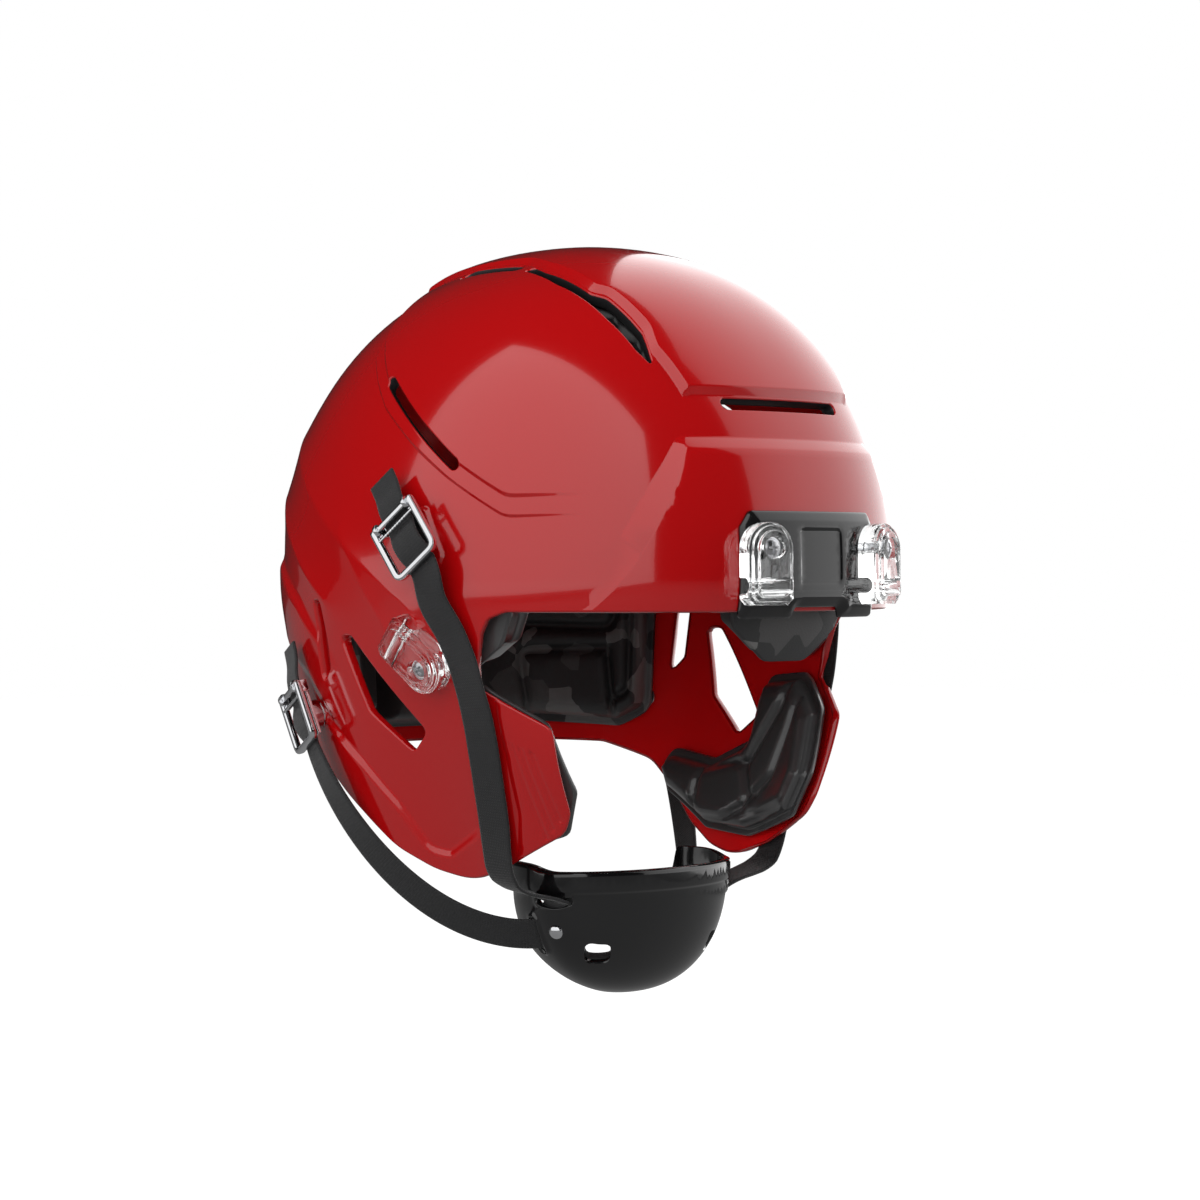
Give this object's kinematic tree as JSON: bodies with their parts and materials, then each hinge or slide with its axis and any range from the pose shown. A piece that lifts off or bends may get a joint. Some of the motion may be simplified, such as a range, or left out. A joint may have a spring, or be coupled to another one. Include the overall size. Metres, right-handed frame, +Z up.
{
  "type": "football helmet",
  "caption": "Padded head guard with an open face, moulded shell, clear clips for a face guard and a buckled chin strap with a cup.",
  "frame": {"origin": "middle of the wearer's head, between the temples at brow height", "axes": "+Z up, -Y out of the face, +X towards the wearer's left"},
  "size_m": [0.2686, 0.2998, 0.3314],
  "materials": {
    "shell_red": "glossy lacquered polycarbonate",
    "bumper_black": "satin",
    "clip_clear": "clear moulded polycarbonate",
    "screw_steel": "zinc plated",
    "buckle_chrome": "polished",
    "webbing": "woven nylon webbing",
    "cup_black": "satin moulded polycarbonate",
    "lattice_black": "matte",
    "patch_fabric": "hook and loop patch",
    "jaw_pad_skin": "glossy formed skin over foam",
    "pad_skin": "soft skin over foam"
  },
  "bodies": {
    "shell": {"shell": "shell_red", "front_bumper": "bumper_black", "rear_bumper": "bumper_black", "rear_bumper_screws": "screw_steel", "front_clip_right": "clip_clear", "front_clip_left": "clip_clear", "side_clip_right": "clip_clear", "side_clip_left": "clip_clear", "clip_screws": "screw_steel", "clip_nuts": "screw_steel", "snap_studs": "screw_steel", "snap_stud_nuts": "screw_steel", "lower_buckle_base_right": "buckle_chrome", "lower_buckle_base_left": "buckle_chrome", "lower_strap_right": "webbing", "lower_strap_left": "webbing", "jaw_pad_right": "jaw_pad_skin", "jaw_pad_left": "jaw_pad_skin", "forehead_pad": "pad_skin", "temple_pad_right": "pad_skin", "temple_pad_left": "pad_skin", "side_pad_right": "pad_skin", "side_pad_left": "pad_skin", "rear_pad_right": "pad_skin", "rear_pad_left": "pad_skin", "nape_pad": "pad_skin", "crown_pad": "pad_skin", "crown_lattice": "lattice_black", "pad_patches": "patch_fabric"},
    "chin_strap": {"upper_strap_right": "webbing", "upper_strap_left": "webbing", "upper_buckle_base_right": "buckle_chrome", "upper_buckle_base_left": "buckle_chrome", "chin_cup": "cup_black", "chin_cup_pad": "pad_skin", "chin_cup_rivets": "screw_steel"},
    "upper_buckle_frame_right": {"upper_buckle_frame_right": "buckle_chrome"},
    "upper_buckle_frame_left": {"upper_buckle_frame_left": "buckle_chrome"},
    "lower_buckle_frame_right": {"lower_buckle_frame_right": "buckle_chrome"},
    "lower_buckle_frame_left": {"lower_buckle_frame_left": "buckle_chrome"}
  },
  "joints": [
    {"name": "chin_strap_swing", "type": "hinge", "parent": "shell", "child": "chin_strap", "pos_m": [0, -0.025, 0.0145], "axis": [-1, 0, 0], "range_deg": [0, 3], "deforming": ["lower_strap_right", "lower_strap_left"]},
    {"name": "upper_buckle_lift_left", "type": "hinge", "parent": "chin_strap", "child": "upper_buckle_frame_left", "pos_m": [0.13025, -0.01881, 0.0247], "axis": [-0.1292, -0.7763, 0.617], "range_deg": [0, 25]},
    {"name": "upper_buckle_lift_right", "type": "hinge", "parent": "chin_strap", "child": "upper_buckle_frame_right", "pos_m": [-0.13025, -0.01881, 0.0247], "axis": [-0.1292, 0.7763, -0.617], "range_deg": [0, 25]},
    {"name": "lower_buckle_lift_left", "type": "hinge", "parent": "shell", "child": "lower_buckle_frame_left", "pos_m": [0.11411, 0.07028, -0.05201], "axis": [0.347, -0.8641, 0.3647], "range_deg": [0, 25]},
    {"name": "lower_buckle_lift_right", "type": "hinge", "parent": "shell", "child": "lower_buckle_frame_right", "pos_m": [-0.11411, 0.07028, -0.05201], "axis": [0.347, 0.8641, -0.3647], "range_deg": [0, 25]}
  ]
}
